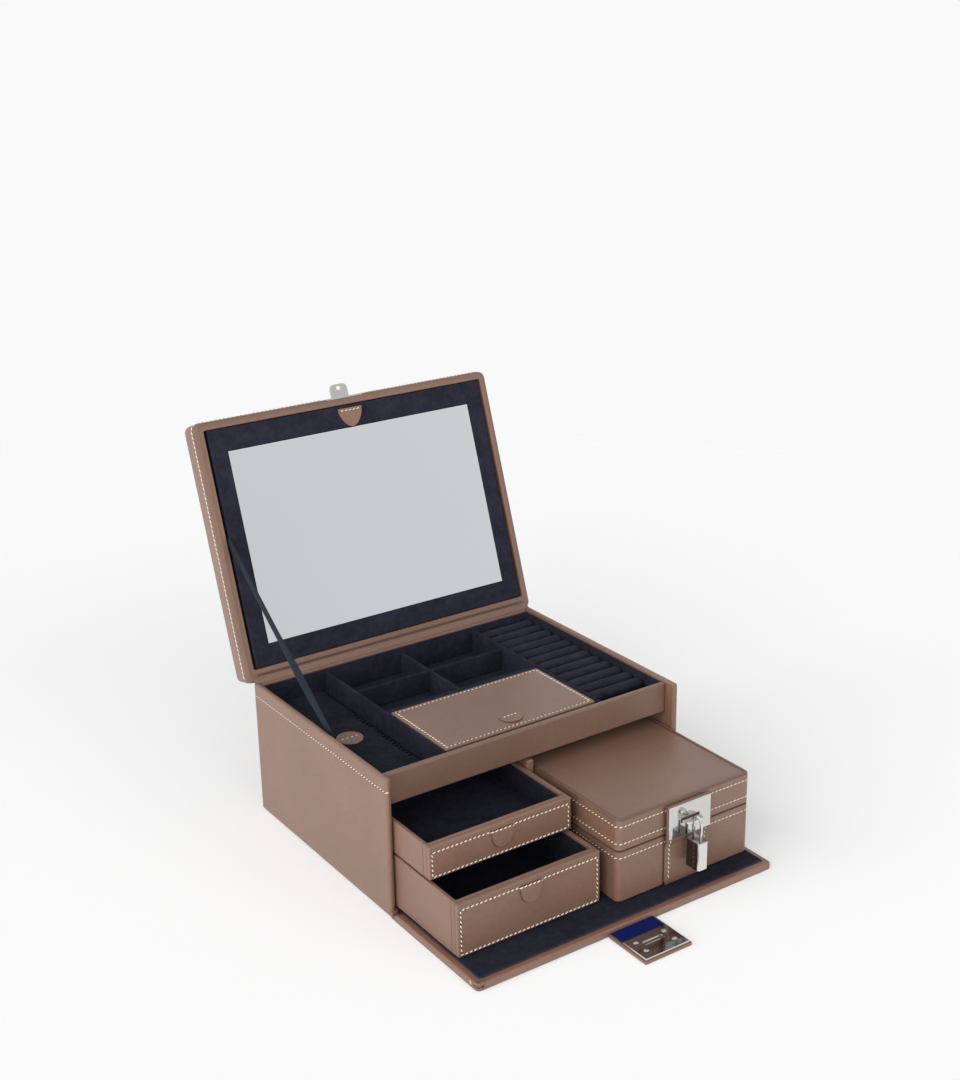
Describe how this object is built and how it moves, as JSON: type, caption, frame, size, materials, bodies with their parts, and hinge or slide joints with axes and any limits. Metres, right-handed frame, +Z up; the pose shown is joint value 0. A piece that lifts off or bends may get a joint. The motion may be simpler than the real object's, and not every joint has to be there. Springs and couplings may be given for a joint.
{
  "type": "jewellery box",
  "caption": "Leather jewellery box with a mirror lid on a ribbon stay, a divided tray, a fall front, pull-out drawers and a removable padlocked casket.",
  "frame": {"origin": "centre of the case's base, on the table", "axes": "+X to the right along the front, +Y to the back, +Z up"},
  "size_m": [0.28, 0.4651, 0.3324],
  "materials": {
    "leather": "smooth taupe leather",
    "suede": "navy suede",
    "ribbon": "slate ribbon",
    "blue_leather": "royal blue",
    "polished_metal": "polished",
    "mirror": "silvered glass"
  },
  "bodies": {
    "case": {"base_board": "leather", "floor_lining": "suede", "left_side_board": "leather", "right_side_board": "leather", "back_board": "leather", "front_rail": "leather", "bay_divider": "leather", "drawer_shelf": "suede", "tray_floor": "suede", "tray_lining": "suede", "left_divider": "suede", "right_divider": "suede", "compartment_divider": "suede", "grid_cross_divider": "suede", "grid_middle_divider": "suede", "compartment_ledge": "suede", "compartment_hinge_strip": "suede", "ring_bed": "suede", "ring_rolls": "suede", "necklace_ledges": "suede", "flap_hinge_leather": "leather", "lid_hinge_leather": "leather", "stay_ribbon": "ribbon"},
    "compartment_cover": {"compartment_lid": "leather", "compartment_tab": "leather"},
    "necklace_tray": {"necklace_panel": "suede", "necklace_disc": "leather"},
    "lid": {"lid_shell": "leather", "lid_staple": "polished_metal"},
    "mirror": {"mirror_panel": "suede", "mirror_glass": "mirror", "mirror_tab": "leather"},
    "upper_drawer": {"upper_drawer_box": "leather", "upper_drawer_lining": "suede", "upper_drawer_front": "leather", "upper_drawer_tab": "leather"},
    "lower_drawer": {"lower_drawer_box": "leather", "lower_drawer_lining": "suede", "lower_drawer_front": "leather", "lower_drawer_tab": "leather"},
    "casket": {"casket_base": "leather", "casket_lining": "suede", "casket_strap": "leather", "casket_plate": "polished_metal", "casket_hinge_leather": "leather"},
    "casket_cover": {"casket_lid": "leather", "casket_lid_lining": "suede", "casket_staple": "polished_metal"},
    "padlock": {"padlock_body": "polished_metal", "padlock_shackle": "polished_metal"},
    "fall_front": {"flap_board": "leather", "flap_lining": "suede"},
    "hasp": {"hasp_tab": "leather", "hasp_tab_lining": "blue_leather", "hasp_plate": "polished_metal", "hasp_screws": "polished_metal"}
  },
  "joints": [
    {"name": "lid_hinge", "type": "hinge", "parent": "case", "child": "lid", "pos_m": [0, 0.105, 0.117], "axis": [-1, 0, 0], "range_deg": [-108.46, 0], "deforming": ["lid_hinge_leather", "stay_ribbon"]},
    {"name": "mirror_hinge", "type": "hinge", "parent": "lid", "child": "mirror", "pos_m": [0, 0.10874, 0.12661], "axis": [1, 0, 0], "range_deg": [0, 40]},
    {"name": "compartment_hinge", "type": "hinge", "parent": "case", "child": "compartment_cover", "pos_m": [0, -0.001, 0.1115], "axis": [-1, 0, 0], "range_deg": [0, 95]},
    {"name": "necklace_tray_lift", "type": "slide", "parent": "case", "child": "necklace_tray", "axis": [0, 0, 1], "range_m": [0, 0.015]},
    {"name": "upper_drawer_slide", "type": "slide", "parent": "case", "child": "upper_drawer", "axis": [0, -1, 0], "range_m": [-0.0577, 0.0623]},
    {"name": "lower_drawer_slide", "type": "slide", "parent": "case", "child": "lower_drawer", "axis": [0, -1, 0], "range_m": [-0.0933, 0.0267]},
    {"name": "casket_slide", "type": "slide", "parent": "case", "child": "casket", "axis": [0, -1, 0], "range_m": [-0.118, 0.014]},
    {"name": "casket_hinge", "type": "hinge", "parent": "casket", "child": "casket_cover", "pos_m": [0.06805, -0.0208, 0.0513], "axis": [-1, 0, 0], "range_deg": [0, 0.35], "deforming": ["casket_hinge_leather"]},
    {"name": "padlock_swivel", "type": "hinge", "parent": "casket_cover", "child": "padlock", "pos_m": [0.06805, -0.2083, 0.05], "axis": [0, 0, 1], "range_deg": [-35, 35]},
    {"name": "fall_front_hinge", "type": "hinge", "parent": "case", "child": "fall_front", "pos_m": [0, -0.10775, 0.00425], "axis": [-1, 0, 0], "range_deg": [0, 0.45]},
    {"name": "hasp_hinge", "type": "hinge", "parent": "fall_front", "child": "hasp", "pos_m": [-0.002, -0.22065, 0.0032], "axis": [-1, 0, 0], "range_deg": [0, 60]}
  ]
}
